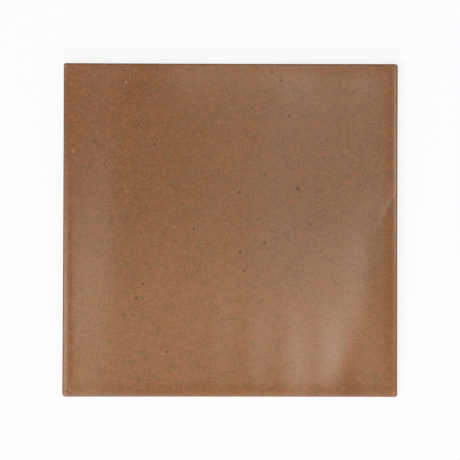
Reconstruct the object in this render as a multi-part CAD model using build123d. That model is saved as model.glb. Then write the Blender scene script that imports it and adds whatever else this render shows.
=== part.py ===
"""A square porcelain floor tile with a hand-pressed terracotta look.

The tile is one pressed and fired piece. Its face is not flat: broad swells run along the
left and right sides, the middle is slightly dished, and the edges lift or fall a little.
The outline is a little out of square, the rim is rolled over, the flanks draw in towards a
chamfered back, and the back carries a waffle of shallow keying pockets for the adhesive.

Frame: millimetres, +Z up out of the face, origin at the middle of the back, in the plane
of the back's ribs. +X runs to the right of the face and +Y to its top.
"""

import os
from math import cos, exp, hypot, inf, radians, sin, tan, tanh

from build123d import *

# Overall size of the pressed piece
WIDTH = 200.0
DEPTH = 199.0
THICKNESS = 9.0

# How far each corner stands in from the overall rectangle, as press and kiln leave it
TOP_LEFT_INSET_X = 0.95
TOP_RIGHT_INSET_Y = 0.6
BOTTOM_RIGHT_INSET_X = 0.4
BOTTOM_LEFT_INSET_Y = 0.2

# How far the middle of each side bows in
LEFT_BOW = 0.08
TOP_BOW = 0.12
RIGHT_BOW = 0.06
BOTTOM_BOW = 0.1

# The rolled rim, and how much more than that each corner is rounded in plan
RIM_RADIUS = 1.0
TOP_LEFT_EASE = 0.3
TOP_RIGHT_EASE = 0.8
BOTTOM_RIGHT_EASE = 0.3
BOTTOM_LEFT_EASE = 1.1

# The sides stand upright below the face, then draw in towards the chamfered back
SIDE_UPRIGHT = 4.0
SIDE_DRAFT_DEG = 1.5
BACK_CHAMFER = 0.8

# Keying pockets in the back
KEY_PITCH = 30.0
KEY_RIB = 4.0
KEY_DEPTH = 0.7
KEY_CORNER_RADIUS = 2.5
KEY_DRAFT_DEG = 30.0
KEY_BORDER = 8.0

# Swells of the face: where the middle of each one stands from two sides of the tile, how far
# it rises or sinks, its spread along itself, its fall to the left and right of its run, the
# rounding of its crest, the way it runs and, where it bends, the length that sets the bend
LEFT_SHOULDER_FROM_LEFT = 32.5
LEFT_SHOULDER_FROM_BOTTOM = 89.5
LEFT_SHOULDER_RISE = 0.44
LEFT_SHOULDER_LENGTH = 100.0
LEFT_SHOULDER_LEFT_FALL = 26.0
LEFT_SHOULDER_RIGHT_FALL = 30.0
LEFT_SHOULDER_CREST = 8.0
LEFT_SHOULDER_TURN_DEG = 87.0

RIGHT_SHOULDER_FROM_RIGHT = 13.5
RIGHT_SHOULDER_FROM_BOTTOM = 74.5
RIGHT_SHOULDER_RISE = 1.0
RIGHT_SHOULDER_LENGTH = 66.0
RIGHT_SHOULDER_LEFT_FALL = 54.0
RIGHT_SHOULDER_RIGHT_FALL = 20.0
RIGHT_SHOULDER_CREST = 9.0
RIGHT_SHOULDER_TURN_DEG = 90.0
RIGHT_SHOULDER_BEND_LENGTH = 100.0

RIGHT_RIDGE_RISE = 0.09
RIGHT_RIDGE_LENGTH = 60.0
RIGHT_RIDGE_FALL = 9.0
RIGHT_RIDGE_CREST = 4.0

LOWER_SHOULDER_FROM_RIGHT = 27.0
LOWER_SHOULDER_FROM_BOTTOM = 28.5
LOWER_SHOULDER_RISE = 0.43
LOWER_SHOULDER_LENGTH = 42.0
LOWER_SHOULDER_LEFT_FALL = 44.0
LOWER_SHOULDER_RIGHT_FALL = 13.0
LOWER_SHOULDER_CREST = 8.0
LOWER_SHOULDER_TURN_DEG = 66.0

TOP_MOUND_FROM_RIGHT = 48.0
TOP_MOUND_FROM_TOP = 5.5
TOP_MOUND_RISE = 0.2
TOP_MOUND_LENGTH = 24.0
TOP_MOUND_LEFT_FALL = 26.0
TOP_MOUND_RIGHT_FALL = 60.0
TOP_MOUND_CREST = 6.0
TOP_MOUND_TURN_DEG = 90.0

TOP_CORNER_FROM_RIGHT = 8.0
TOP_CORNER_FROM_TOP = 3.5
TOP_CORNER_RISE = 0.42
TOP_CORNER_LENGTH = 22.0
TOP_CORNER_LEFT_FALL = 36.0
TOP_CORNER_RIGHT_FALL = 10.0
TOP_CORNER_CREST = 6.0
TOP_CORNER_TURN_DEG = 90.0

MIDDLE_DISH_FROM_LEFT = 78.0
MIDDLE_DISH_FROM_TOP = 79.5
MIDDLE_DISH_SINK = 0.2
MIDDLE_DISH_LENGTH = 70.0
MIDDLE_DISH_FALL = 38.0
MIDDLE_DISH_CREST = 20.0
MIDDLE_DISH_TURN_DEG = 85.0

RIGHT_EDGE_PAST_RIGHT = 6.0
RIGHT_EDGE_FROM_TOP = 24.5
RIGHT_EDGE_SINK = 0.25
RIGHT_EDGE_LENGTH = 34.0
RIGHT_EDGE_FALL = 8.0
RIGHT_EDGE_CREST = 5.0
RIGHT_EDGE_TURN_DEG = 90.0

LOWER_EDGE_FROM_LEFT = 60.0
LOWER_EDGE_PAST_BOTTOM = 4.5
LOWER_EDGE_RISE = 0.6
LOWER_EDGE_LENGTH = 62.0
LOWER_EDGE_FALL = 9.0
LOWER_EDGE_CREST = 5.0
LOWER_EDGE_TURN_DEG = 0.0

# Spacing of the points that carry the face, how closely the face follows them, and how
# far the cutter runs past the tile
FACE_POINT_SPACING = 5.0
FACE_TOLERANCE = 0.002
CUTTER_MARGIN = 4.0

LEFT_SIDE = -WIDTH / 2
RIGHT_SIDE = WIDTH / 2
BOTTOM_SIDE = -DEPTH / 2
TOP_SIDE = DEPTH / 2


class Swell:
    """A long low rise of the face, or a hollow where its rise is negative."""

    def __init__(self, x, y, rise, length, left_fall, right_fall, crest, turn_deg, bend_length=inf):
        self.x = x
        self.y = y
        self.rise = rise
        self.length = length
        self.left_fall = left_fall
        self.right_fall = right_fall
        self.crest = crest
        self.turn = radians(turn_deg)
        self.bend_length = bend_length

    def at(self, x, y):
        """A bell curve along the run, and across it a fall to each side from a rounded crest.

        Where the run bends, to its right ahead and to its left behind, the crest is a cubic.
        """
        along = (x - self.x) * cos(self.turn) + (y - self.y) * sin(self.turn)
        across = (y - self.y) * cos(self.turn) - (x - self.x) * sin(self.turn)
        across += along**3 / self.bend_length**2
        on_left = (1 + tanh(across / self.crest)) / 2
        fall = self.right_fall + (self.left_fall - self.right_fall) * on_left
        drop = (hypot(across, self.crest) - self.crest) / fall
        return self.rise * exp(-((along / self.length) ** 2) - drop)


SWELLS = [
    Swell(
        LEFT_SIDE + LEFT_SHOULDER_FROM_LEFT,
        BOTTOM_SIDE + LEFT_SHOULDER_FROM_BOTTOM,
        LEFT_SHOULDER_RISE,
        LEFT_SHOULDER_LENGTH,
        LEFT_SHOULDER_LEFT_FALL,
        LEFT_SHOULDER_RIGHT_FALL,
        LEFT_SHOULDER_CREST,
        LEFT_SHOULDER_TURN_DEG,
    ),
    Swell(
        RIGHT_SIDE - RIGHT_SHOULDER_FROM_RIGHT,
        BOTTOM_SIDE + RIGHT_SHOULDER_FROM_BOTTOM,
        RIGHT_SHOULDER_RISE,
        RIGHT_SHOULDER_LENGTH,
        RIGHT_SHOULDER_LEFT_FALL,
        RIGHT_SHOULDER_RIGHT_FALL,
        RIGHT_SHOULDER_CREST,
        RIGHT_SHOULDER_TURN_DEG,
        RIGHT_SHOULDER_BEND_LENGTH,
    ),
    Swell(
        RIGHT_SIDE - RIGHT_SHOULDER_FROM_RIGHT,
        BOTTOM_SIDE + RIGHT_SHOULDER_FROM_BOTTOM,
        RIGHT_RIDGE_RISE,
        RIGHT_RIDGE_LENGTH,
        RIGHT_RIDGE_FALL,
        RIGHT_RIDGE_FALL,
        RIGHT_RIDGE_CREST,
        RIGHT_SHOULDER_TURN_DEG,
        RIGHT_SHOULDER_BEND_LENGTH,
    ),
    Swell(
        RIGHT_SIDE - LOWER_SHOULDER_FROM_RIGHT,
        BOTTOM_SIDE + LOWER_SHOULDER_FROM_BOTTOM,
        LOWER_SHOULDER_RISE,
        LOWER_SHOULDER_LENGTH,
        LOWER_SHOULDER_LEFT_FALL,
        LOWER_SHOULDER_RIGHT_FALL,
        LOWER_SHOULDER_CREST,
        LOWER_SHOULDER_TURN_DEG,
    ),
    Swell(
        RIGHT_SIDE - TOP_MOUND_FROM_RIGHT,
        TOP_SIDE - TOP_MOUND_FROM_TOP,
        TOP_MOUND_RISE,
        TOP_MOUND_LENGTH,
        TOP_MOUND_LEFT_FALL,
        TOP_MOUND_RIGHT_FALL,
        TOP_MOUND_CREST,
        TOP_MOUND_TURN_DEG,
    ),
    Swell(
        RIGHT_SIDE - TOP_CORNER_FROM_RIGHT,
        TOP_SIDE - TOP_CORNER_FROM_TOP,
        TOP_CORNER_RISE,
        TOP_CORNER_LENGTH,
        TOP_CORNER_LEFT_FALL,
        TOP_CORNER_RIGHT_FALL,
        TOP_CORNER_CREST,
        TOP_CORNER_TURN_DEG,
    ),
    Swell(
        LEFT_SIDE + MIDDLE_DISH_FROM_LEFT,
        TOP_SIDE - MIDDLE_DISH_FROM_TOP,
        -MIDDLE_DISH_SINK,
        MIDDLE_DISH_LENGTH,
        MIDDLE_DISH_FALL,
        MIDDLE_DISH_FALL,
        MIDDLE_DISH_CREST,
        MIDDLE_DISH_TURN_DEG,
    ),
    Swell(
        RIGHT_SIDE + RIGHT_EDGE_PAST_RIGHT,
        TOP_SIDE - RIGHT_EDGE_FROM_TOP,
        -RIGHT_EDGE_SINK,
        RIGHT_EDGE_LENGTH,
        RIGHT_EDGE_FALL,
        RIGHT_EDGE_FALL,
        RIGHT_EDGE_CREST,
        RIGHT_EDGE_TURN_DEG,
    ),
    Swell(
        LEFT_SIDE + LOWER_EDGE_FROM_LEFT,
        BOTTOM_SIDE - LOWER_EDGE_PAST_BOTTOM,
        LOWER_EDGE_RISE,
        LOWER_EDGE_LENGTH,
        LOWER_EDGE_FALL,
        LOWER_EDGE_FALL,
        LOWER_EDGE_CREST,
        LOWER_EDGE_TURN_DEG,
    ),
]


def face_height(x, y):
    """Height of the face over the back: the nominal thickness plus every swell."""
    return THICKNESS + sum(swell.at(x, y) for swell in SWELLS)


def spread(half_span):
    """Evenly spaced places from one margin to the other, close to the wanted spacing."""
    reach = half_span + CUTTER_MARGIN
    steps = max(4, round(2 * reach / FACE_POINT_SPACING))
    return [-reach + 2 * reach * i / steps for i in range(steps + 1)]


def make_outline(level, inset):
    """The plan outline at a level, drawn in by an inset: bowed sides and rounded corners."""
    left = LEFT_SIDE + inset
    right = RIGHT_SIDE - inset
    bottom = BOTTOM_SIDE + inset
    top = TOP_SIDE - inset
    bottom_left = Vector(left, bottom + BOTTOM_LEFT_INSET_Y)
    bottom_right = Vector(right - BOTTOM_RIGHT_INSET_X, bottom)
    top_right = Vector(right, top - TOP_RIGHT_INSET_Y)
    top_left = Vector(left + TOP_LEFT_INSET_X, top)
    sides = [
        (bottom_left, bottom_right, BOTTOM_BOW),
        (bottom_right, top_right, RIGHT_BOW),
        (top_right, top_left, TOP_BOW),
        (top_left, bottom_left, LEFT_BOW),
    ]
    eased = [
        (bottom_left, BOTTOM_LEFT_EASE),
        (bottom_right, BOTTOM_RIGHT_EASE),
        (top_right, TOP_RIGHT_EASE),
        (top_left, TOP_LEFT_EASE),
    ]
    with BuildSketch() as outline:
        with BuildLine():
            for start, end, bow in sides:
                SagittaArc(start, end, bow)
        make_face()
        for corner, ease in eased:
            corner_radius = RIM_RADIUS + ease - inset
            fillet(outline.vertices().sort_by_distance(corner)[0], corner_radius)
    return outline.sketch.moved(Location((0, 0, level)))


def make_blank():
    """The pressed block: chamfered back, drafted flank, upright to above the highest swell."""
    shoulder = THICKNESS - SIDE_UPRIGHT
    highest = THICKNESS + sum(max(swell.rise, 0) for swell in SWELLS) + CUTTER_MARGIN
    draft_inset = (shoulder - BACK_CHAMFER) * tan(radians(SIDE_DRAFT_DEG))
    levels = [
        (0, draft_inset + BACK_CHAMFER),
        (BACK_CHAMFER, draft_inset),
        (shoulder, 0),
        (highest, 0),
    ]
    return loft([make_outline(level, inset) for level, inset in levels], ruled=True)


def make_face_cutter():
    """Everything over the swelling face, as one solid to take off the blank."""
    columns = spread(WIDTH / 2)
    rows = spread(DEPTH / 2)
    points = [[(x, y, face_height(x, y)) for y in rows] for x in columns]
    sheet = Face.make_surface_from_array_of_points(
        points, tol=FACE_TOLERANCE, min_deg=3, max_deg=3
    )
    return extrude(sheet, amount=THICKNESS + CUTTER_MARGIN, dir=(0, 0, 1))


def make_key_pockets():
    """An even grid of drafted square pockets, so that two ribs cross at the origin."""
    columns = 2 * int((WIDTH - 2 * KEY_BORDER) / (2 * KEY_PITCH))
    rows = 2 * int((DEPTH - 2 * KEY_BORDER) / (2 * KEY_PITCH))
    side = KEY_PITCH - KEY_RIB
    with BuildPart() as pockets:
        with BuildSketch():
            with GridLocations(KEY_PITCH, KEY_PITCH, columns, rows):
                RectangleRounded(side, side, KEY_CORNER_RADIUS)
        extrude(amount=KEY_DEPTH, taper=KEY_DRAFT_DEG)
    return pockets.part


def make_tile():
    """The whole tile: the blank under its swelling face, with the rim rolled and the back keyed."""
    tile = make_blank() - make_face_cutter()
    face = tile.faces().sort_by(Axis.Z)[-1]
    return fillet(face.outer_wire().edges(), RIM_RADIUS) - make_key_pockets()


os.makedirs("parts", exist_ok=True)
export_step(make_tile(), "parts/tile.step")
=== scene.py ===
"""The looks of a square porcelain tile with a terracotta-coloured satin glaze."""

import math

import bpy
import mathutils
import numpy as np
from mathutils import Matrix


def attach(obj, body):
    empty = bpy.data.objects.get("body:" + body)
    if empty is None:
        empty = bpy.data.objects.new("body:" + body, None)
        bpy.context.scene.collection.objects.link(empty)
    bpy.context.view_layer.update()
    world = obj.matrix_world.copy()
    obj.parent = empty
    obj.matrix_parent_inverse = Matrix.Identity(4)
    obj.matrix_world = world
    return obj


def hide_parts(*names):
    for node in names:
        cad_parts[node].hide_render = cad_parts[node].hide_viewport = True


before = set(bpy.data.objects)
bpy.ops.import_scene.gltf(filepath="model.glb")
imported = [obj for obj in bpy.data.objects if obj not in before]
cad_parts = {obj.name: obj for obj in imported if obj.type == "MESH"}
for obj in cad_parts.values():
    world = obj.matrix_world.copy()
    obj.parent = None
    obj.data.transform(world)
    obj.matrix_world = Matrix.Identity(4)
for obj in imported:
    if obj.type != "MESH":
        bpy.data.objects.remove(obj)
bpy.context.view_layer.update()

# The tile: one pressed and fired piece of porcelain. The die leaves a swelling face, sides that
# bow in a little, a rolled rim, drafted flanks and a waffle of keying pockets in the back.
# Lengths are in millimetres, as in the drawing of the part, until the mesh is written.
MM = 0.001
WIDTH = 200.0
DEPTH = 199.0
THICKNESS = 9.0
TOP_LEFT_INSET_X = 0.95
TOP_RIGHT_INSET_Y = 0.6
BOTTOM_RIGHT_INSET_X = 0.4
BOTTOM_LEFT_INSET_Y = 0.2
LEFT_BOW = 0.08
TOP_BOW = 0.12
RIGHT_BOW = 0.06
BOTTOM_BOW = 0.1
RIM_RADIUS = 1.0
TOP_LEFT_RADIUS = RIM_RADIUS + 0.3
TOP_RIGHT_RADIUS = RIM_RADIUS + 0.8
BOTTOM_RIGHT_RADIUS = RIM_RADIUS + 0.3
BOTTOM_LEFT_RADIUS = RIM_RADIUS + 1.1
SIDE_UPRIGHT = 4.0
SIDE_DRAFT_DEG = 1.5
BACK_CHAMFER = 0.8
NO_LENGTH = 1e-9


def bell(distance, spread):
    """A bell curve: one at no distance, falling to 1/e at the spread."""
    return np.exp(-((distance / spread) ** 2))


def swell(x, y, at, rise, length, left_fall, right_fall, crest, turn_deg, bend_length=math.inf):
    """A long low rise: a bell along its run, and across it an exponential fall to each side from a
    rounded crest, which may be slower to the left of the run than to the right. Where the run bends,
    to its right ahead and to its left behind, its crest is a cubic."""
    turn = math.radians(turn_deg)
    along = (x - at[0]) * math.cos(turn) + (y - at[1]) * math.sin(turn)
    across = (y - at[1]) * math.cos(turn) - (x - at[0]) * math.sin(turn) + along**3 / bend_length**2
    fall = right_fall + (left_fall - right_fall) * (1 + np.tanh(across / crest)) / 2
    return rise * bell(along, length) * np.exp((crest - np.hypot(across, crest)) / fall)


# The face: broad swells as in the drawing of the part, and over them the fine relief: finger ripples
# near the lower right corner, a short crease by the right side, a low lip beside each side, and waves
RIGHT_RUN = dict(at=(86.5, -25), turn_deg=90, bend_length=100)
SWELLS = [
    dict(at=(-67.5, -10), rise=0.44, length=100, left_fall=26, right_fall=30, crest=8, turn_deg=87),
    dict(RIGHT_RUN, rise=1.0, length=66, left_fall=54, right_fall=20, crest=9),
    dict(RIGHT_RUN, rise=0.09, length=60, left_fall=9, right_fall=9, crest=4),
    dict(at=(73, -71), rise=0.43, length=42, left_fall=44, right_fall=13, crest=8, turn_deg=66),
    dict(at=(52, 94), rise=0.2, length=24, left_fall=26, right_fall=60, crest=6, turn_deg=90),
    dict(at=(92, 96), rise=0.42, length=22, left_fall=36, right_fall=10, crest=6, turn_deg=90),
    dict(at=(-22, 20), rise=-0.2, length=70, left_fall=38, right_fall=38, crest=20, turn_deg=85),
    dict(at=(106, 75), rise=-0.25, length=34, left_fall=8, right_fall=8, crest=5, turn_deg=90),
    dict(at=(-40, -104), rise=0.6, length=62, left_fall=9, right_fall=9, crest=5, turn_deg=0),
]
RIPPLE_AT = (39.2, -76.0)
RIPPLE_RISE = 0.013
RIPPLE_PITCH = 22.5
RIPPLE_REACH = (44.0, 28.0)
CREASE = dict(at=(96, 16), rise=0.035, length=14, left_fall=2.4, right_fall=3, crest=1, turn_deg=63)
LEFT_LIP = dict(rise=0.022, inset=3.3, breadth=1.7, middle=-60, reach=75)
RIGHT_LIP = dict(rise=0.03, inset=0.5, breadth=1.2, middle=35, reach=85)
BOTTOM_LIP = dict(rise=0.03, inset=2.4, breadth=3.0, middle=30, reach=150)
TOP_LIP = dict(rise=0.15, inset=0, breadth=10, middle=20, reach=80)
WAVE_COUNT = 14
WAVE_RISE = 0.002
WAVE_LENGTHS = (12.0, 38.0)
WAVE_TURN_DEG = 22.0
WAVE_SEED = 5
waves = np.random.default_rng(WAVE_SEED)
wave_length = waves.uniform(*WAVE_LENGTHS, WAVE_COUNT)
wave_turn = np.radians(waves.normal(0, WAVE_TURN_DEG, WAVE_COUNT))
wave_phase = waves.uniform(0, 2 * math.pi, WAVE_COUNT)


def lip(distance, along, rise, inset, breadth, middle, reach):
    """A low bead along a side: a bell across it, centred at its inset from that side, and one along it."""
    return rise * bell(distance - inset, breadth) * bell(along - middle, reach)


def broad_height(x, y):
    """Height of the broad forms: the thickness, plus the swells, less slight waves. The waves are a sum
    of cosines, which only sink from the swells."""
    height = np.full(x.shape, THICKNESS)
    for shape in SWELLS:
        height += swell(x, y, **shape)
    run = x[..., None] * np.cos(wave_turn) + y[..., None] * np.sin(wave_turn)
    return height + WAVE_RISE * (np.cos(2 * math.pi * run / wave_length + wave_phase) - 1).sum(-1)


def fine_height(x, y):
    """Height that the fine forms add: the four lips, the crease and the ripples, which are a sine
    across the tile under a bell each way."""
    height = lip(WIDTH / 2 + x, y, **LEFT_LIP) + lip(WIDTH / 2 - x, y, **RIGHT_LIP)
    height += lip(DEPTH / 2 + y, x, **BOTTOM_LIP) + lip(DEPTH / 2 - y, x, **TOP_LIP)
    from_x = x - RIPPLE_AT[0]
    from_y = y - RIPPLE_AT[1]
    envelope = bell(from_x, RIPPLE_REACH[0]) * bell(from_y, RIPPLE_REACH[1])
    height += RIPPLE_RISE * envelope * np.sin(2 * math.pi * from_x / RIPPLE_PITCH)
    return height + swell(x, y, **CREASE)


def laid_out(x, y):
    """From a true rectangle to the real plan. Each corner square becomes a quarter disc: a point
    keeps its larger offset from the corner's centre as its distance. Then the sides shift by
    their inset, which runs evenly from end to end, and by their bow, a parabola."""
    radius = np.where(
        x > 0,
        np.where(y > 0, TOP_RIGHT_RADIUS, BOTTOM_RIGHT_RADIUS),
        np.where(y > 0, TOP_LEFT_RADIUS, BOTTOM_LEFT_RADIUS),
    )
    offset_x = np.maximum(radius - (WIDTH / 2 - abs(x)), 0)
    offset_y = np.maximum(radius - (DEPTH / 2 - abs(y)), 0)
    reach = np.maximum(np.hypot(offset_x, offset_y), NO_LENGTH)
    pull = np.where(reach > NO_LENGTH, 1 - np.maximum(offset_x, offset_y) / reach, 0)
    x = x - np.sign(x) * offset_x * pull
    y = y - np.sign(y) * offset_y * pull
    across = x / WIDTH + 0.5
    up = y / DEPTH + 0.5
    left = TOP_LEFT_INSET_X * up + LEFT_BOW * 4 * up * (1 - up)
    right = BOTTOM_RIGHT_INSET_X * (1 - up) + RIGHT_BOW * 4 * up * (1 - up)
    bottom = BOTTOM_LEFT_INSET_Y * (1 - across) + BOTTOM_BOW * 4 * across * (1 - across)
    top = TOP_RIGHT_INSET_Y * across + TOP_BOW * 4 * across * (1 - across)
    return x + left * (1 - across) - right * across, y + bottom * (1 - up) - top * up


def loop_of(grid):
    """The border of a grid, once round from its first corner: along, up, back and down."""
    return np.concatenate([grid[0, :-1], grid[:-1, -1], grid[-1, :0:-1], grid[:0:-1, 0]])


def quads_of(grid):
    """The four corners of every cell of a grid, in turn."""
    corners = [grid[:-1, :-1], grid[:-1, 1:], grid[1:, 1:], grid[1:, :-1]]
    return np.stack(corners, -1).reshape(-1, 4)


def stitched(outer, outer_place, inner, inner_place):
    """Triangles between two loops with different counts. Walking once round, each step goes on
    along the loop whose next corner comes first, and joins it to where the other one stands."""
    once_round = 4.0
    ends = np.concatenate([np.append(place[1:], once_round) for place in (outer_place, inner_place)])
    on_outer = np.argsort(ends, kind="stable") < len(outer)
    i = np.cumsum(on_outer) - on_outer
    j = np.cumsum(~on_outer) - ~on_outer
    next_outer = outer[(i + 1) % len(outer)]
    next_inner = inner[(j + 1) % len(inner)]
    third = np.where(on_outer, next_outer, next_inner)
    return np.stack([outer[i % len(outer)], inner[j % len(inner)], third], -1)


# Places of the face's grid lines, in from a side: close together over the rim and the lip
RIM_STEPS = 8
LIP_ZONE = 8.0
LIP_STEP = 0.47
FACE_STEP = 0.8
rim_angles = np.linspace(0, math.pi / 2, RIM_STEPS + 1)
rim_lines = RIM_RADIUS * (1 - np.cos(rim_angles))
lip_lines = np.linspace(RIM_RADIUS, LIP_ZONE, round((LIP_ZONE - RIM_RADIUS) / LIP_STEP) + 1)[1:-1]


def face_lines(span):
    """Places of the lines across a span: two mirrored edge zones and even steps between."""
    half = span / 2
    edge = np.concatenate([rim_lines, lip_lines]) - half
    inner = np.linspace(LIP_ZONE - half, half - LIP_ZONE, round((span - 2 * LIP_ZONE) / FACE_STEP))
    return np.concatenate([edge, inner, -edge[::-1]])


flat_x, flat_y = np.meshgrid(face_lines(WIDTH), face_lines(DEPTH))
face_x, face_y = laid_out(flat_x, flat_y)
from_side = np.minimum(WIDTH / 2 - abs(flat_x), DEPTH / 2 - abs(flat_y))
into_rim = np.clip(RIM_RADIUS - from_side, 0, RIM_RADIUS)
rim_drop = RIM_RADIUS - np.sqrt(RIM_RADIUS**2 - into_rim**2)
face_z = broad_height(face_x, face_y) + fine_height(face_x, face_y) - rim_drop
face_points = np.stack([face_x, face_y, face_z], -1)
face_ids = np.arange(face_x.size).reshape(face_x.shape)

# The flank below the rim: upright down to a shoulder, drafted from there, and chamfered at the back
FLANK_SHARES = (0.33, 0.67, 1.0)
shoulder = THICKNESS - SIDE_UPRIGHT
draft_inset = (shoulder - BACK_CHAMFER) * math.tan(math.radians(SIDE_DRAFT_DEG))
edge_flat_x = loop_of(flat_x)
edge_flat_y = loop_of(flat_y)
edge_z = loop_of(face_z)
SMALLEST_RADIUS = min(TOP_LEFT_RADIUS, TOP_RIGHT_RADIUS, BOTTOM_RIGHT_RADIUS, BOTTOM_LEFT_RADIUS)


def drawn_in(place, half, inset):
    """A border place moved in: the last stretch before a corner is squeezed to start at the inset."""
    from_end = half - abs(place)
    squeezed = inset + from_end * (SMALLEST_RADIUS - inset) / SMALLEST_RADIUS
    return np.sign(place) * (half - np.where(from_end < SMALLEST_RADIUS, squeezed, from_end))


def flank_row(height, inset):
    """One turn of the flank at a height and an inset."""
    x, y = laid_out(drawn_in(edge_flat_x, WIDTH / 2, inset), drawn_in(edge_flat_y, DEPTH / 2, inset))
    return np.stack([x, y, np.broadcast_to(height, x.shape)], -1)


flank_rows = [flank_row(edge_z + (shoulder - edge_z) * share, 0) for share in FLANK_SHARES]
for share in FLANK_SHARES:
    level = shoulder + (BACK_CHAMFER - shoulder) * share
    flank_rows.append(flank_row(level, draft_inset * share))
flank_rows.append(flank_row(0.0, draft_inset + BACK_CHAMFER))
flank_points = np.stack(flank_rows)
flank_ids = face_ids.size + np.arange(len(flank_rows) * len(edge_z)).reshape(len(flank_rows), -1)
wall_ids = np.vstack([loop_of(face_ids)[None], flank_ids])
wall_ids = np.hstack([wall_ids, wall_ids[:, :1]])

# The back: a grid whose lines follow the mouths and floors of the pockets
KEY_PITCH = 30.0
KEY_COUNT = 6
KEY_RIB = 4.0
KEY_DEPTH = 0.7
KEY_CORNER_RADIUS = 2.5
KEY_DRAFT_DEG = 30.0
KEY_CORNER_LINES = (0.9, 1.6)
ON_THE_MOUTH = 1e-6
key_half = (KEY_PITCH - KEY_RIB) / 2
key_slope = KEY_DEPTH * math.tan(math.radians(KEY_DRAFT_DEG))
corner_steps = np.array([0.0, key_slope, *KEY_CORNER_LINES, KEY_CORNER_RADIUS])
pocket_lines = np.concatenate([corner_steps - key_half, [0.0], (key_half - corner_steps)[::-1]])
pocket_middles = (np.arange(KEY_COUNT) - (KEY_COUNT - 1) / 2) * KEY_PITCH
field_half = KEY_COUNT * KEY_PITCH / 2
key_lines = (pocket_middles[:, None] + pocket_lines).ravel()
key_lines = np.concatenate([[-field_half], key_lines, [field_half]])
key_x, key_y = np.meshgrid(key_lines, key_lines)


def pocket(x, y):
    """Plan and height of the back: in each pocket the corner squares become quarter discs, and
    the height rises over the drafted wall from the mouth to the floor."""
    nearest_x = pocket_middles[abs(x[..., None] - pocket_middles).argmin(-1)]
    nearest_y = pocket_middles[abs(y[..., None] - pocket_middles).argmin(-1)]
    from_x = key_half - abs(x - nearest_x)
    from_y = key_half - abs(y - nearest_y)
    inside = np.minimum(from_x, from_y)
    offset_x = np.maximum(KEY_CORNER_RADIUS - from_x, 0)
    offset_y = np.maximum(KEY_CORNER_RADIUS - from_y, 0)
    reach = np.maximum(np.hypot(offset_x, offset_y), NO_LENGTH)
    rounded = (inside >= -ON_THE_MOUTH) & (reach > ON_THE_MOUTH)
    pull = np.where(rounded, 1 - np.maximum(offset_x, offset_y) / reach, 0)
    height = KEY_DEPTH * np.clip(inside / key_slope, 0, 1)
    x = x - np.sign(x - nearest_x) * offset_x * pull
    y = y - np.sign(y - nearest_y) * offset_y * pull
    return np.stack([x, y, height], -1)


back_points = pocket(key_x, key_y)
back_ids = face_ids.size + flank_ids.size + np.arange(key_x.size).reshape(key_x.shape)


def places_round(across, up):
    """How far each point of a loop is on its way round, one unit a side, from where it stands
    across and up the rectangle, both from -1 to 1."""
    sides = [np.isclose(up, -1), np.isclose(across, 1), np.isclose(up, 1)]
    return np.select(sides, [across + 1, up + 3, 5 - across], 7 - up) / 2


edge_places = places_round(edge_flat_x / (WIDTH / 2), edge_flat_y / (DEPTH / 2))
key_places = places_round(loop_of(key_x) / field_half, loop_of(key_y) / field_half)
border = stitched(flank_ids[-1], edge_places, loop_of(back_ids), key_places)

points = np.concatenate([p.reshape(-1, 3) for p in (face_points, flank_points, back_points)])
faces = quads_of(face_ids).tolist() + quads_of(wall_ids[::-1]).tolist()
faces += quads_of(back_ids)[:, ::-1].tolist() + border.tolist()
SHARP_DEG = 35.0
tile_mesh = bpy.data.meshes.new("glazed_tile")
tile_mesh.from_pydata((points * MM).tolist(), [], faces)
tile_mesh.polygons.foreach_set("use_smooth", np.ones(len(faces), bool))
tile_mesh.set_sharp_from_angle(angle=math.radians(SHARP_DEG))
tile_mesh.validate()
glazed_tile = bpy.data.objects.new("glazed_tile", tile_mesh)
bpy.context.scene.collection.objects.link(glazed_tile)


def linear(code):
    """An sRGB hex colour as linear red, green, blue and a full alpha."""
    srgb = np.array([int(code[i : i + 2], 16) / 255 for i in (1, 3, 5)])
    rgb = np.where(srgb <= 0.04045, srgb / 12.92, ((srgb + 0.055) / 1.055) ** 2.4)
    return (*rgb.tolist(), 1.0)


# Painted sheen: the face is painted paler where it slopes towards the left softbox, and a quarter as
# much where it slopes towards the front one, standing in for their reflection. The attribute starts softly
# with the broad slope, adds the fine one, and is raised or lowered in listed clouds. A second attribute holds
# how far in from the side a point lies.
PAINTED_SHEEN_FROM = 0.004
PAINTED_SHEEN_SOFTNESS = 0.006
PAINTED_SHEEN_SPAN = 0.026
BROAD_STEP = 9.0
FINE_STEP = 0.25
UPWARD_SHARE = 0.25
# Clouds of painted sheen, as across, up, reach and the share by which each raises or lowers it
PAINTED_SHEEN_CLOUDS = [
    (-22, 88, 16, 0.08),
    (60, -75, 34, 0.1),
    (65, 2, 28, -0.09),
    (-92, 60, 50, -0.08),
    (93, -70, 26, 0.05),
    (93, 10, 16, 0.08),
    (82, -14, 10, 0.12),
    (86, 88, 12, 0.12),
    (-48, 96, 16, -0.1),
]


def lean(height, step):
    """How steeply a height rises to the right, and a quarter as much upwards, over a step each way."""
    across = height(face_x + step, face_y) - height(face_x - step, face_y)
    up = height(face_x, face_y + step) - height(face_x, face_y - step)
    return (across + up * UPWARD_SHARE) / (2 * step)


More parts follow.
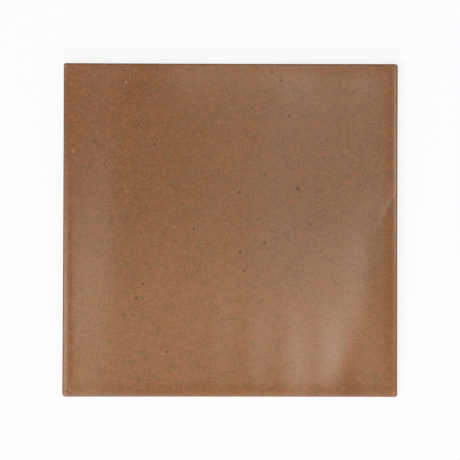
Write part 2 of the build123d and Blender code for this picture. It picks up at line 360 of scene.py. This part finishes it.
slope = lean(broad_height, BROAD_STEP) - PAINTED_SHEEN_FROM
slope = (slope + np.hypot(slope, PAINTED_SHEEN_SOFTNESS)) / 2
sheen_paling = (slope + lean(fine_height, FINE_STEP)) / PAINTED_SHEEN_SPAN
for cloud_x, cloud_y, reach, share in PAINTED_SHEEN_CLOUDS:
    sheen_paling += share * bell(np.hypot(face_x - cloud_x, face_y - cloud_y), reach)
sheen_paling = np.clip(sheen_paling, 0, 1)
painted_sheen = np.zeros(len(points))
painted_sheen[: face_x.size] = sheen_paling.ravel()
inward = np.zeros(len(points))
inward[: face_x.size] = from_side.ravel()
for name, values in (("painted_sheen", painted_sheen), ("inward", inward)):
    attribute = tile_mesh.attributes.new(name, "FLOAT", "POINT")
    attribute.data.foreach_set("value", values.astype(np.float32))

# Satin glaze, sprayed on and fired at stoneware heat: an even low gloss over clouded terracotta colours,
# with a fine red and olive grain, pale grog and a few iron specks that bled into it. It stops in a wavy
# line on the flank, and below that the porcelain is bare, matt and dusty with white kiln wash.
UPPER_CLAY = "#865425"
LOWER_CLAY = "#966134"
CORNER_RED = "#844812"
POOL_RED_AND_SHADE = "#864A10"
OLIVE_HAZE = "#885F3C"
PAINTED_HOLLOW_SHADE = "#7E4620"
PAINTED_SHEEN_COLOUR = "#B8967A"
PALE_GRAIN = "#9E7758"
DARK_GRAIN = "#6C4B29"
RED_GRAIN = "#A5663B"
OLIVE_GRAIN = "#6F5C39"
RIM_BROWN_AND_SHADE = "#83502B"
PALE_GROG_AND_GLINT = "#C08A62"
IRON_SPECK = "#302C1E"
BARE_BODY = "#AB8A6E"
KILN_WASH = "#D9CFC2"
# Iron specks and grog grains that stand where they lie on this tile, and three painted glints on the corners
# among the grog, as across, up and radius
IRON_SPECKS = [
    (25, 94, 0.9),
    (30.5, 89, 0.8),
    (35.5, 68, 0.8),
    (-45, 51, 1.0),
    (-80.5, 53, 0.9),
    (40.5, 24.5, 1.3),
    (5.5, 22.5, 1.0),
    (-21.5, 0.5, 1.0),
    (20.5, -7.5, 1.1),
    (6, -13, 1.1),
    (8.5, -24, 0.8),
    (-56, -40.5, 1.0),
    (-52, -32, 0.9),
    (-37.5, -72.5, 0.8),
    (-97.3, -96.3, 0.8),
    (-54, -89.5, 0.7),
    (-55, -95.5, 0.7),
    (-40.5, -97, 0.7),
    (-57.5, -50.5, 0.7),
    (-50.5, -20, 0.6),
    (-52.5, 39.5, 0.6),
    (-13, 42.5, 0.6),
    (21, 33, 0.7),
    (-1.5, 14, 0.6),
    (87, 32, 0.6),
]
GROG_GRAINS_AND_GLINTS = [
    (-62, 88, 1.1),
    (-6, 64, 0.8),
    (-93.5, 47, 1.3),
    (69.5, 46.5, 0.9),
    (-62, 23, 0.9),
    (-33, 2, 0.8),
    # Painted glints: pale spots on the top left, top right and bottom right corners, where the rounded
    # corners catch the light
    (-97.7, 97.7, 0.9),
    (96.9, 96.4, 0.7),
    (97.6, -97.2, 1.3),
    (-95.4, -95.2, 1.2),
    (-40, -73.5, 1.0),
    (-24, 83, 0.8),
    (-11, 78, 0.9),
]
glaze = bpy.data.materials.new("satin_terracotta_glaze")
glaze.use_nodes = True
tree = glaze.node_tree
tree.nodes.clear()


def add(kind, inputs=(), **settings):
    """Adds a node of a kind to the tree in hand: its settings first, then for each input, by name or
    by place among those in use, a value, a link from a socket, or one from a node's first output in use."""
    node = tree.nodes.new("ShaderNode" + kind)
    for name, value in settings.items():
        setattr(node, name, value)
    sockets = [socket for socket in node.inputs if socket.enabled]
    for key, value in dict(inputs).items():
        socket = sockets[key] if isinstance(key, int) else next(s for s in sockets if s.name == key)
        if isinstance(value, bpy.types.Node):
            value = next(output for output in value.outputs if output.enabled)
        if isinstance(value, bpy.types.NodeSocket):
            tree.links.new(value, socket)
        else:
            socket.default_value = value
    return node


def between(start, end):
    """The range of a fade that starts and ends at two lengths in millimetres."""
    return {"From Min": start * MM, "From Max": end * MM}


smooth = {"interpolation_type": "SMOOTHSTEP"}
place = add("TexCoord").outputs["Object"]
flat_place = add("VectorMath", {0: place, 1: (1, 1, 0)}, operation="MULTIPLY")
x_place, y_place, z_place = add("SeparateXYZ", {0: place}).outputs
painted_sheen_share = add("Attribute", attribute_name="painted_sheen").outputs["Fac"]
inward_mm = add("Attribute", attribute_name="inward").outputs["Fac"]

# The colour fields, which fade into each other up and across the tile and round two places. Clouds
# about 30 mm wide, as a spray gun leaves them, push the borders between the fields to and fro.
CLOUD_WIDTH = 30.0
CLOUD_PUSH = (28.0, 90.0)
LOWER_FADE = (30.0, -55.0)
UPPER_FADE = (-45.0, 10.0)
RIGHT_FADE = (5.0, 35.0)
TOP_FADE = (98.0, 62.0)
TOP_HAZE = 0.4
CORNER_AT = (-100.0, 100.0)
CORNER_PUSH = 60.0
CORNER_FADE = (110.0, 28.0)
CORNER_MOST = 0.7
# Painted shade: a darker red patch in the hollow by the lower right corner, where the face falls away from
# the light
HOLLOW_AT = (71.5, -93.0)
HOLLOW_PUSH = 20.0
HOLLOW_FADE = (13.0, 2.0)
HOLLOW_MOST = 0.6
cloud = add("TexNoise", {"Vector": place, "Scale": 1 / (CLOUD_WIDTH * MM), "Detail": 3.0, "Roughness": 0.55})
cloud = add("Math", {0: cloud, 1: 0.5}, operation="SUBTRACT")
clouded_x = add("Math", {0: cloud, 1: CLOUD_PUSH[0] * MM, 2: x_place}, operation="MULTIPLY_ADD")
clouded_y = add("Math", {0: cloud, 1: CLOUD_PUSH[1] * MM, 2: y_place}, operation="MULTIPLY_ADD")
lower = add("MapRange", {"Value": clouded_y, **between(*LOWER_FADE)}, **smooth)
upper = add("MapRange", {"Value": clouded_y, **between(*UPPER_FADE)}, **smooth)
right = add("MapRange", {"Value": clouded_x, **between(*RIGHT_FADE)}, **smooth)
upper_right = add("Math", {0: upper, 1: right}, operation="MULTIPLY")
below_top = add("MapRange", {"Value": y_place, **between(*TOP_FADE), "To Min": TOP_HAZE}, **smooth)
upper_right = add("Math", {0: upper_right, 1: below_top}, operation="MULTIPLY")
corner = (CORNER_AT[0] * MM, CORNER_AT[1] * MM, 0)
from_corner = add("VectorMath", {0: flat_place, 1: corner}, operation="DISTANCE")
from_corner = add("Math", {0: cloud, 1: CORNER_PUSH * MM, 2: from_corner}, operation="MULTIPLY_ADD")
upper_left = add("MapRange", {"Value": from_corner, **between(*CORNER_FADE), "To Max": CORNER_MOST}, **smooth)
hollow_middle = (HOLLOW_AT[0] * MM, HOLLOW_AT[1] * MM, 0)
from_hollow = add("VectorMath", {0: flat_place, 1: hollow_middle}, operation="DISTANCE")
from_hollow = add("Math", {0: cloud, 1: HOLLOW_PUSH * MM, 2: from_hollow}, operation="MULTIPLY_ADD")
hollow_shade = add("MapRange", {"Value": from_hollow, **between(*HOLLOW_FADE), "To Max": HOLLOW_MOST}, **smooth)
colour = add("Mix", {0: lower, 1: linear(UPPER_CLAY), 2: linear(LOWER_CLAY)}, data_type="RGBA")
colour = add("Mix", {0: upper_left, 1: colour, 2: linear(CORNER_RED)}, data_type="RGBA")
colour = add("Mix", {0: upper_right, 1: colour, 2: linear(OLIVE_HAZE)}, data_type="RGBA")
# The painted shade in the hollow
colour = add("Mix", {0: hollow_shade, 1: colour, 2: linear(PAINTED_HOLLOW_SHADE)}, data_type="RGBA")

# Behind the rim a darker, redder band: partly glaze that pools and fires redder, partly painted shade in the
# valley behind the lip; less of it beside the lower edge. Lengths are in millimetres from the side, as the
# attribute holds them.
MOTTLE_WIDTH = 5.0
POOL_WANDER = 3.0
POOL_END = {"From Min": 12.0, "From Max": 6.0}
POOL_MOST = 0.65
POOL_START = {"From Min": 3.5, "From Max": 5.0}
POOL_LOW_FADE = (-95.0, -75.0)
POOL_LOW_SHARE = 0.5
mottle = add("TexNoise", {"Vector": place, "Scale": 1 / (MOTTLE_WIDTH * MM), "Detail": 2.5, "Roughness": 0.9})
pool_wander = add("Math", {0: mottle, 1: POOL_WANDER, 2: inward_mm}, operation="MULTIPLY_ADD")
pool_and_shade = add("MapRange", {"Value": pool_wander, **POOL_END, "To Max": POOL_MOST}, **smooth)
behind = add("MapRange", {"Value": pool_wander, **POOL_START}, **smooth)
pool_and_shade = add("Math", {0: pool_and_shade, 1: behind}, operation="MULTIPLY")
above = add("MapRange", {"Value": y_place, **between(*POOL_LOW_FADE), "To Min": POOL_LOW_SHARE}, **smooth)
pool_and_shade = add("Math", {0: pool_and_shade, 1: above}, operation="MULTIPLY")
colour = add("Mix", {0: pool_and_shade, 1: colour, 2: linear(POOL_RED_AND_SHADE)}, data_type="RGBA")

# The painted sheen, a pale colour, lies over the colour fields and the band behind the rim
colour = add("Mix", {0: painted_sheen_share, 1: colour, 2: linear(PAINTED_SHEEN_COLOUR)}, data_type="RGBA")

# A mottle of red and olive, 5 mm wide and broken up finely, under a grain of light and dark. The real
# grain is about 0.3 mm wide and is drawn at 1.1 mm so that it shows. Both are calmer in the painted sheen.
GRAIN_WIDTH = 1.1
HIGH_NOISE = {"From Min": 0.5, "From Max": 0.75}
LOW_NOISE = {"From Min": 0.5, "From Max": 0.25}
RED_MOST = 0.6
OLIVE_CALM = {"To Min": 0.6, "To Max": 0.36}
GRAIN_CALM = {"To Min": 0.5, "To Max": 0.3}
red = add("MapRange", {"Value": mottle, **HIGH_NOISE, "To Max": RED_MOST})
olive_most = add("MapRange", {"Value": painted_sheen_share, **OLIVE_CALM})
olive = add("MapRange", {"Value": mottle, **LOW_NOISE, "To Max": olive_most})
colour = add("Mix", {0: red, 1: colour, 2: linear(RED_GRAIN)}, data_type="RGBA")
colour = add("Mix", {0: olive, 1: colour, 2: linear(OLIVE_GRAIN)}, data_type="RGBA")
grain = add("TexNoise", {"Vector": place, "Scale": 1 / (GRAIN_WIDTH * MM), "Detail": 1.0, "Roughness": 0.7})
grain_most = add("MapRange", {"Value": painted_sheen_share, **GRAIN_CALM})
pale = add("MapRange", {"Value": grain, **HIGH_NOISE, "To Max": grain_most})
dark = add("MapRange", {"Value": grain, **LOW_NOISE, "To Max": grain_most})
colour = add("Mix", {0: pale, 1: colour, 2: linear(PALE_GRAIN)}, data_type="RGBA")
colour = add("Mix", {0: dark, 1: colour, 2: linear(DARK_GRAIN)}, data_type="RGBA")

# The rim, painted a darker brown: partly glaze that runs thin over the edge and fires brown, partly painted
# shade where the rolled rim turns away from the light
RIM_WANDER = 0.8
RIM_END = {"From Min": 1.4, "From Max": 0.7}
RIM_MOST = 0.85
rim_wander = add("Math", {0: mottle, 1: RIM_WANDER, 2: inward_mm}, operation="MULTIPLY_ADD")
rim = add("MapRange", {"Value": rim_wander, **RIM_END, "To Max": RIM_MOST}, **smooth)
colour = add("Mix", {0: rim, 1: colour, 2: linear(RIM_BROWN_AND_SHADE)}, data_type="RGBA")

# Grog and iron: the larger pieces stand where they lie on this tile, with three painted glints at the corners
# set in the grog colour, and the small ones are scattered one to a cell of their spacing, where chance is
# high enough. A wobble makes them less than round.
WOBBLE_WIDTH = 1.5
WOBBLE = 0.8
SPOT_EDGE = 1.2
SPOT_CORE = 0.5
SPOT_GAIN = 1.2
FACE_FROM = 0.5
wobble = add("TexNoise", {"Vector": place, "Scale": 1 / (WOBBLE_WIDTH * MM)}).outputs["Color"]
most_wobble = (WOBBLE * MM, WOBBLE * MM, 0)
mean_wobble = (WOBBLE / 2 * MM, WOBBLE / 2 * MM, 0)
wobbled = add("VectorMath", {0: wobble, 1: most_wobble, 2: flat_place}, operation="MULTIPLY_ADD")
wobbled = add("VectorMath", {0: wobbled, 1: mean_wobble}, operation="SUBTRACT")
on_face = add("Math", {0: inward_mm, 1: FACE_FROM}, operation="GREATER_THAN")
for spacing, rarest, widest, pieces, tint, strength in (
    (4.5, 0.65, 0.15, GROG_GRAINS_AND_GLINTS, PALE_GROG_AND_GLINT, 0.42),
    (8.0, 0.75, 0.085, IRON_SPECKS, IRON_SPECK, 0.62),
):
    cells = add("TexVoronoi", {"Vector": wobbled, "Scale": 1 / (spacing * MM)}, voronoi_dimensions="2D")
    chance = add("SeparateColor", {0: cells.outputs["Color"]})
    size = add("MapRange", {"Value": chance, "From Min": rarest, "To Max": widest})
    inside = add("Math", {0: size, 1: cells.outputs["Distance"]}, operation="SUBTRACT")
    spots = add("Math", {0: inside, 1: SPOT_GAIN / widest}, operation="MULTIPLY", use_clamp=True)
    for x_mm, y_mm, radius_mm in pieces:
        away = add("VectorMath", {0: wobbled, 1: (x_mm * MM, y_mm * MM, 0)}, operation="DISTANCE")
        soft_edge = between(SPOT_EDGE * radius_mm, SPOT_CORE * radius_mm)
        spot = add("MapRange", {"Value": away, **soft_edge}, **smooth)
        spots = add("Math", {0: spots, 1: spot}, operation="MAXIMUM")
    spots = add("Math", {0: spots, 1: on_face}, operation="MULTIPLY")
    tint_share = add("Math", {0: spots, 1: strength}, operation="MULTIPLY")
    colour = add("Mix", {0: tint_share, 1: colour, 2: linear(tint)}, data_type="RGBA")

# The bare body under the glaze line, with kiln wash left on the ribs in patches about 4 mm wide
LINE_WANDER = 3.0
LINE_FADE = (3.4, 3.9)
DUST_WIDTH = 4.0
WASH_PATCHES = {"From Min": 0.45, "From Max": 0.65, "To Max": 0.7}
RIB_FADE = (0.25, 0.05)
line_wander = add("Math", {0: cloud, 1: LINE_WANDER * MM, 2: z_place}, operation="MULTIPLY_ADD")
glazed = add("MapRange", {"Value": line_wander, **between(*LINE_FADE)}, **smooth)
dust = add("TexNoise", {"Vector": place, "Scale": 1 / (DUST_WIDTH * MM), "Detail": 4.0, "Roughness": 0.7})
dusty = add("MapRange", {"Value": dust, **WASH_PATCHES})
on_ribs = add("MapRange", {"Value": z_place, **between(*RIB_FADE)})
washed = add("Math", {0: dusty, 1: on_ribs}, operation="MULTIPLY")
body = add("Mix", {0: washed, 1: linear(BARE_BODY), 2: linear(KILN_WASH)}, data_type="RGBA")
body = add("Mix", {0: dark, 1: body, 2: linear(DARK_GRAIN)}, data_type="RGBA")
colour = add("Mix", {0: glazed, 1: body, 2: colour}, data_type="RGBA")

# The gloss: satin on the face, duller on the thin rim and matt on the bare body, with a slight tooth
SATIN = {"From Min": 0.3, "From Max": 0.7, "To Min": 0.27, "To Max": 0.35}
RIM_ROUGHNESS = 0.6
BODY_ROUGHNESS = 0.8
TOOTH_DEPTH = 0.005
TOOTH_STRENGTH = 0.5
roughness = add("MapRange", {"Value": dust, **SATIN})
roughness = add("Mix", {0: rim, 1: roughness, 2: RIM_ROUGHNESS}, data_type="FLOAT")
roughness = add("Mix", {0: glazed, 1: BODY_ROUGHNESS, 2: roughness}, data_type="FLOAT")
tooth = add("Math", {0: grain, 1: dust}, operation="ADD")
normal = add("Bump", {"Strength": TOOTH_STRENGTH, "Distance": TOOTH_DEPTH * MM, "Height": tooth})
shader = add("BsdfPrincipled", {"Base Color": colour, "Roughness": roughness, "Normal": normal})
add("OutputMaterial", {"Surface": shader})
tile_mesh.materials.append(glaze)
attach(glazed_tile, "root")
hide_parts("tile")

# The stage: a wide white floor, which shows white to the camera and still takes the tile's shadow.
# A large softbox high on the left draws the sheen on the swells, and a low one in front of the tile
# lights its lower edge. The camera looks straight down, as for a catalogue picture.
FLOOR_REACH = 30.0
FLOOR_GLOW = 0.85
FLOOR_WHITE = "#F4F4F4"
WORLD_STRENGTH = 0.4
PICTURE_PIXELS = 460
TILE_PIXELS = 335.6
CAMERA_HEIGHT = 6.0
SENSOR_WIDTH = 36.0
floor_mesh = bpy.data.meshes.new("floor")
floor_signs = ((-1, -1), (1, -1), (1, 1), (-1, 1))
floor_corners = [(x * FLOOR_REACH, y * FLOOR_REACH, 0) for x, y in floor_signs]
floor_mesh.from_pydata(floor_corners, [], [(0, 1, 2, 3)])
floor = bpy.data.objects.new("floor", floor_mesh)
bpy.context.scene.collection.objects.link(floor)
paper = bpy.data.materials.new("white_paper")
paper.use_nodes = True
tree = paper.node_tree
tree.nodes.clear()
rays = add("LightPath").outputs
seen = add("Math", {0: rays["Is Camera Ray"], 1: rays["Is Glossy Ray"]}, operation="MAXIMUM")
seen = add("Math", {0: seen, 1: rays["Is Transmission Ray"]}, operation="MAXIMUM")
glow_share = add("Math", {0: seen, 1: FLOOR_GLOW}, operation="MULTIPLY")
diffuse = add("BsdfDiffuse", {"Color": linear(FLOOR_WHITE)})
glow = add("Emission")
lit_paper = add("MixShader", {0: glow_share, 1: diffuse, 2: glow})
add("OutputMaterial", {"Surface": lit_paper})
floor_mesh.materials.append(paper)

world = bpy.data.worlds.new("studio")
world.use_nodes = True
background = world.node_tree.nodes["Background"]
background.inputs["Color"].default_value = (1, 1, 1, 1)
background.inputs["Strength"].default_value = WORLD_STRENGTH
bpy.context.scene.world = world


def softbox(name, middle, aim, size, radiance):
    """A rectangular panel of even radiance at a place, turned to face another. It gives pi times its
    area times its radiance in watts."""
    lamp = bpy.data.lights.new(name, "AREA")
    lamp.shape = "RECTANGLE"
    lamp.size, lamp.size_y = size
    lamp.energy = radiance * math.pi * size[0] * size[1]
    holder = bpy.data.objects.new(name, lamp)
    holder.location = middle
    towards = mathutils.Vector(aim) - mathutils.Vector(middle)
    holder.rotation_euler = towards.to_track_quat("-Z", "Y").to_euler()
    holder.visible_camera = False
    bpy.context.scene.collection.objects.link(holder)


softbox("left_softbox", middle=(-2.5, -1.5, 6.0), aim=(-2.5, -1.5, 0.0), size=(2.8, 2.6), radiance=8.6)
softbox("front_softbox", middle=(0.1, -0.95, 0.8), aim=(0.0, 0.0, 0.0), size=(0.7, 0.5), radiance=5.0)

camera = bpy.data.cameras.new("camera")
camera.sensor_width = SENSOR_WIDTH
picture_width = WIDTH * MM * PICTURE_PIXELS / TILE_PIXELS
camera.lens = SENSOR_WIDTH * (CAMERA_HEIGHT - THICKNESS * MM) / picture_width
camera_object = bpy.data.objects.new("camera", camera)
camera_object.location = (0, 0, CAMERA_HEIGHT)
bpy.context.scene.collection.objects.link(camera_object)
bpy.context.scene.camera = camera_object
bpy.context.scene.view_settings.view_transform = "Standard"
